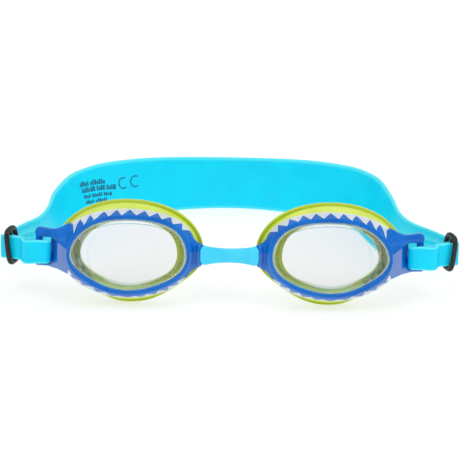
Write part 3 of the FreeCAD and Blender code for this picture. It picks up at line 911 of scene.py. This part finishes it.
def strap_object(name, sections, material, tail=False, fold_highlights=None):
    """A piece of strap over its sections, with a painted highlight along its edges. tail closes its first
    end.

    The last argument holds how strongly the painted fold highlight lines show at each section."""
    points, faces = wrap(sections, closed=False)
    count = len(sections[0])
    if tail:
        faces.append(tuple(range(count)))
    flat = len(SECTION_SHARES)
    edge = {0, flat - 1, flat + SECTION_ROUND - 1, 2 * flat + SECTION_ROUND - 2}
    # edge rows get 1: a painted highlight along the strap's edges
    strap_edge_highlights = [0.0 if i % (flat + SECTION_ROUND - 1) < flat and i not in edge else 1.0 for i in range(count)]
    shades = strap_edge_highlights * len(sections)
    rows = [row for fold in FOLD_ROWS for row in (fold, 2 * flat + SECTION_ROUND - 2 - fold)]
    for i, strength in enumerate(fold_highlights or []):
        for row in rows:
            shades[i * count + row] = strength
    return make_object(name, points, faces, [material], sharp=60.0, shades=shades)


def plan_normals(line):
    """Unit vectors across a plan line, to its right."""
    out = []
    for i in range(len(line)):
        along = line[min(i + 1, len(line) - 1)] - line[max(i - 1, 0)]
        along.normalize()
        out.append(Vector((along.y, -along.x, 0)))
    return out


def build_loop(name, side, material):
    """A strap end, doubled round its post, that rises towards the post in front."""
    line = catmull(loop_plan(), END_SPACING)
    sections = []
    for i, (point, across) in enumerate(zip(line, plan_normals(line))):
        share = i / len(line)
        back = smoothstep((share - BACK_FROM) / BACK_RUN)
        second_rise = BEND_RISE * smoothstep((share - BEND_RISE_FROM) / BEND_RISE_RUN)
        rise = TAIL_RISE * smoothstep(share / TAIL_RISE_TO) + second_rise
        tall = STRAP_FRONT + (STRAP_BACK - STRAP_FRONT) * back
        low = POST.z + FRONT_RAISE + (BACK_RAISE - FRONT_RAISE) * back + rise * (1 - back) - tall / 2
        high = low + tall
        outer = Vector((point.x, point.y, 0)) - across * STRAP_THICK / 2
        section = strap_section(outer + Vector((0, 0, low)), outer + Vector((0, 0, high)), across)
        sections.append(on_side(side, section))
    return strap_object(f"strap_end_{name}", sections, material, tail=True)


def band_stations():
    """Places along the band: outer face low and high points, and the inward direction."""
    line = catmull(band_plan(), BAND_SPACING)
    low_z = POST.z + BACK_RAISE - STRAP_BACK / 2
    stations = []
    for point, across in zip(line, plan_normals(line)):
        depth = point.y - CUP_Y
        widened = smoothstep((depth - FLARE_START) / (FLARE_END - FLARE_START))
        late = smoothstep((depth - FLARE_START - UPPER_LAG) / (FLARE_END - FLARE_START - 2 * UPPER_LAG))
        low = low_z * (1 - smoothstep((depth - DROP_START) / (DROP_END - DROP_START))) + TABLE_GAP
        dip = UPPER_DIP * hump(depth, DIP_DEPTH, DIP_WIDTH)
        high = STRAP_BAND + (low_z + STRAP_BACK - STRAP_BAND) * (1 - late) - dip
        lean = across * (LEAN_IN * widened * smoothstep(abs(point.x) / CORNER_X))
        base = Vector((point.x, point.y, 0))
        stations.append((base + lean + Vector((0, 0, low)), base + Vector((0, 0, high)), across))
    return stations


def build_band(stations, name, material):
    """A piece of the band over its stations, with painted highlight lines near the sliders that stand for
    folds.
    """
    fold_highlights = []
    for low, high, across in stations:
        depth = high.y - CUP_Y
        shown = FOLD_HIGHLIGHT * smoothstep((depth - FOLD_START) / FOLD_GROW)
        fold_highlights.append(shown * (1 - smoothstep((depth - FOLD_FADE) / (FOLD_END - FOLD_FADE))))
    return strap_object(name, [strap_section(*station) for station in stations], material, fold_highlights=fold_highlights)


def split_stations(stations):
    """The band's left side, middle and right side, which share their end sections."""
    first = next(i for i, s in enumerate(stations) if s[1].y > 0 and s[1].x > -MIDDLE_X)
    last = next(i for i, s in enumerate(stations) if i > first and s[1].x > MIDDLE_X)
    return stations[:first + 1], stations[first:last + 1], stations[last:]


SLIDER_HALF_WIDE, SLIDER_HALF_TALL = 4.1, 6.6
SLIDER_RING_R, SLIDER_BAR_R = 1.05, 0.7
SLIDER_STEPS, SLIDER_ROUND = 64, 14  # sections along the ring, and points round it
SLIDER_SQUARE = 0.55  # 1 makes an oval ring, and less a squarer one
SLIDER_RAISE = -0.05
SLIDER_TURN = math.radians(12.0)  # it sits askew on the strap
SLIDER_LEAN = math.radians(7.0)


def build_slider(name, side, material):
    """A squarish oval ring with a middle bar between the strap's two layers."""
    middle = on_loop(SLIDER_SHOWN_AT[name], 0.0)
    facing = LOOP_ANGLE - SLIDER_TURN
    through = Vector((math.cos(facing), math.sin(facing), 0))
    wide = Vector((-math.sin(facing), math.cos(facing), 0))
    tall = (Vector((0, 0, 1)) * math.cos(SLIDER_LEAN) + through * math.sin(SLIDER_LEAN)).normalized()
    centre = Vector((middle.x, middle.y, POST.z + SLIDER_RAISE))
    depth = wide.cross(tall)
    rings = []
    for t in turns(SLIDER_STEPS):
        c = math.copysign(abs(math.cos(t)) ** SLIDER_SQUARE, math.cos(t))
        s = math.copysign(abs(math.sin(t)) ** SLIDER_SQUARE, math.sin(t))
        at = centre + wide * SLIDER_HALF_WIDE * c + tall * SLIDER_HALF_TALL * s
        out = (wide * c / SLIDER_HALF_WIDE + tall * s / SLIDER_HALF_TALL).normalized()
        rings.append([at + (out * math.cos(q) + depth * math.sin(q)) * SLIDER_RING_R
                      for q in turns(SLIDER_ROUND)])
    bar = []
    for w in (-SLIDER_HALF_TALL, SLIDER_HALF_TALL):
        bar.append([centre + tall * w + (wide * math.cos(q) + depth * math.sin(q)) * SLIDER_BAR_R
                    for q in turns(SLIDER_ROUND)])
    points, faces = joined([wrap(rings), capped(bar)])
    return make_object(f"slider_ring_{name}", on_side(side, points), faces, [material], sharp=60.0)


# --- print on the strap ---
PRINT_FROM_X = -65.2  # where the print starts on the band
PRINT_SLANT = -0.11  # the rows climb this much along the band
PRINT_INSET = 0.10  # each lower millimetre starts this much further back
PRINT_BACK = 1.0  # and all of it this much
PRINT_ROWS = [(17.6, 2.1, 16.0), (14.9, 2.1, 20.0), (12.4, 1.5, 17.6), (10.0, 1.5, 14.6)]
BLOCK_WIDE, BLOCK_VARY = 0.82, 0.4
BLOCK_SHORT, BLOCK_LEAN = 0.72, 0.12  # every third block is shorter, and all lean
BLOCK_GAP, WORD_GAP = 0.3, 0.8
MARK_RUNS = (24.6, 30.4)
MARK_HEIGHT = 14.6
MARK_RADIUS = 2.5
MARK_LINE = 0.5
MARK_STEPS = 25  # of a full circle, of which these are drawn
MARK_DRAWN = range(4, 21)
WORDS = (5, 7, 4)  # blocks before each gap


def band_place(stations, run, height):
    """A point on the band's inner face, and the way into the band: run along it, height up its face."""
    total = 0.0
    for first, second in zip(stations, stations[1:]):
        length = (second[1] - first[1]).length
        if total + length >= run:
            t = (run - total) / length
            low, high, across = (a.lerp(b, t) for a, b in zip(first, second))
            across.normalize()
            return low + (high - low).normalized() * height + across * (STRAP_THICK + 0.02), across
        total += length
    raise ValueError("beyond the band")


def ink_block(stations, corners):
    """One small printed block over four (run, height) corners, as a thin box on the band's inner face."""
    under, over = [], []
    for run, height in corners:
        place, across = band_place(stations, run, height)
        under.append(place - across * 0.04)
        over.append(place + across * 0.02)
    return capped([under, over])


def build_print(stations, material):
    """Rows of small blocks, each row given by its height, letter height and length, and two open rings."""
    start = 0.0
    for first, second in zip(stations, stations[1:]):
        if second[1].x > PRINT_FROM_X and second[1].y > 0:
            break
        start += (second[1] - first[1]).length
    parts = []
    for row, (height, tall, length) in enumerate(PRINT_ROWS):
        at, letter, word = 0.0, 0, row
        while at < length:
            wide = BLOCK_WIDE + BLOCK_VARY * ((letter * 7 + row * 3 + word) % 4) / 3
            left = start + at + (PRINT_ROWS[0][0] - height) * PRINT_INSET - PRINT_BACK
            base = height + at * PRINT_SLANT
            cut = tall * (1.0 if (letter * 5 + row) % 3 else BLOCK_SHORT)
            lean = cut * BLOCK_LEAN
            climb = wide * PRINT_SLANT
            parts.append(ink_block(stations, [
                (left, base), (left + wide, base + climb),
                (left + wide + lean, base + climb + cut), (left + lean, base + cut)]))
            at += wide + BLOCK_GAP
            letter += 1
            if letter == WORDS[word % len(WORDS)]:
                at += WORD_GAP
                letter = 0
                word += 1
    for run in MARK_RUNS:
        for k in MARK_DRAWN:
            arc_points = []
            outer, inner = MARK_RADIUS, MARK_RADIUS - MARK_LINE
            for turn, radius in ((k, outer), (k + 1, outer), (k + 1, inner), (k, inner)):
                t = 2 * math.pi * turn / MARK_STEPS
                height = MARK_HEIGHT + radius * math.sin(t)
                arc_points.append((start + run + radius * math.cos(t), height))
            parts.append(ink_block(stations, arc_points))
    points, faces = joined(parts)
    return make_object("strap_print", points, faces, [material], sharp=None)


# === build the object ===
def build_goggles():
    blue, cyan, lime = frame_blue(), strap_cyan(), gasket_lime()
    white, black = teeth_white(), slider_black()
    clear = [lens_clear("lens_window", 0.3, (0.55, 0.54, 0.55, 1), 0.02),
             lens_clear("lens_skirt", 0.22, (0.80, 0.88, 0.80, 1), 0.03), lens_wall(), lens_bevel_highlight()]
    for name, side in SIDES.items():
        cup = f"{name}_cup"
        shell = build_frame(name, side, blue)
        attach(shell, cup)
        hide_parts(f"frame_{name}")
        lens = build_lens(name, side, clear)
        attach(lens, cup)
        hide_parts(f"lens_{name}")
        gasket = build_gasket(name, side, lime)
        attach(gasket, cup)
        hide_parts(f"gasket_{name}")
        for trim, node in zip(build_teeth(name, side, white), ("upper_teeth", "lower_teeth")):
            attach(trim, cup)
            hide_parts(f"{node}_{name}")
        loop = build_loop(name, side, cyan)
        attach(loop, f"{name}_loop")
        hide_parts(f"strap_loop_{name}")
        slider = build_slider(name, side, black)
        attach(slider, f"{name}_slider")
        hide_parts(f"slider_{name}")
    bridge = build_bridge(bridge_cyan())
    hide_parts("nose_bridge")
    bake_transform(bridge)
    build_strap(cyan)


def build_strap(material):
    stations = band_stations()
    left, middle, right = split_stations(stations)
    pieces = [build_band(part, name, material) for part, name in
              ((left, "band_left"), (middle, "band_middle"), (right, "band_right"))]
    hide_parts("strap_band")
    ink = build_print(stations, print_ink())
    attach(ink, "left_cup")
    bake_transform(pieces[0])
    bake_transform(pieces[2])
    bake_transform(pieces[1])


# === camera, light and floor ===
def build_camera():
    """A camera in front of the lenses that looks down on them."""
    data = bpy.data.cameras.new("camera")
    data.sensor_width = SENSOR_WIDTH
    data.lens = SENSOR_WIDTH * CAMERA_DISTANCE / VIEW_WIDTH
    camera = bpy.data.objects.new("camera", data)
    bpy.context.scene.collection.objects.link(camera)
    up = Vector((0, math.sin(CAMERA_ELEVATION), math.cos(CAMERA_ELEVATION)))
    target = (Vector((0, CUP_Y, CUP_Z)) + up * AIM_ABOVE_LENSES) * MM
    back = Vector((0, -math.cos(CAMERA_ELEVATION), math.sin(CAMERA_ELEVATION)))
    camera.location = target + back * (CAMERA_DISTANCE * MM)
    facing = back.to_track_quat("Z", "Y").to_matrix()
    camera.rotation_euler = (facing @ Matrix.Rotation(CAMERA_ROLL, 3, "Z")).to_euler()
    bpy.context.scene.camera = camera


def area_light(name, place, size, power):
    data = bpy.data.lights.new(name, "AREA")
    data.shape = "DISK"
    data.size = size
    data.energy = power
    light = bpy.data.objects.new(name, data)
    bpy.context.scene.collection.objects.link(light)
    light.location = place
    light.rotation_euler = (Vector(place)).to_track_quat("Z", "Y").to_euler()


def build_studio():
    bpy.context.scene.view_settings.view_transform = "Standard"
    world = bpy.data.worlds.new("studio")
    world.use_nodes = True
    world.node_tree.nodes["Background"].inputs["Color"].default_value = (1, 1, 1, 1)
    world.node_tree.nodes["Background"].inputs["Strength"].default_value = WORLD_STRENGTH
    bpy.context.scene.world = world
    area_light("key", (-0.35, -0.55, 0.9), 0.7, 2.5)
    area_light("fill", (0.6, -0.3, 0.6), 0.6, 1.6)
    area_light("top", (0.0, 0.35, 1.0), 0.8, 1.6)
    material, tree, shader = new_material(
        "floor_white", Roughness=0.8, Specular_IOR_Level=0.1,
        Emission_Color=(1, 1, 1, 1), Emission_Strength=0.62)
    cloud = noise(tree, 4.0, 2.0)
    tree.links.new(
        ramp(tree, cloud.outputs["Fac"], [(0.3, (0.42, 0.42, 0.42, 1)), (0.7, (0.44, 0.44, 0.44, 1))]),
        shader.inputs["Base Color"])
    corners = [(x * FLOOR_HALF, y * FLOOR_HALF, 0) for x, y in ((-1, -1), (1, -1), (1, 1), (-1, 1))]
    floor = make_object("floor", corners, [(0, 1, 2, 3)], [material], sharp=None)


build_camera()
build_studio()
build_goggles()
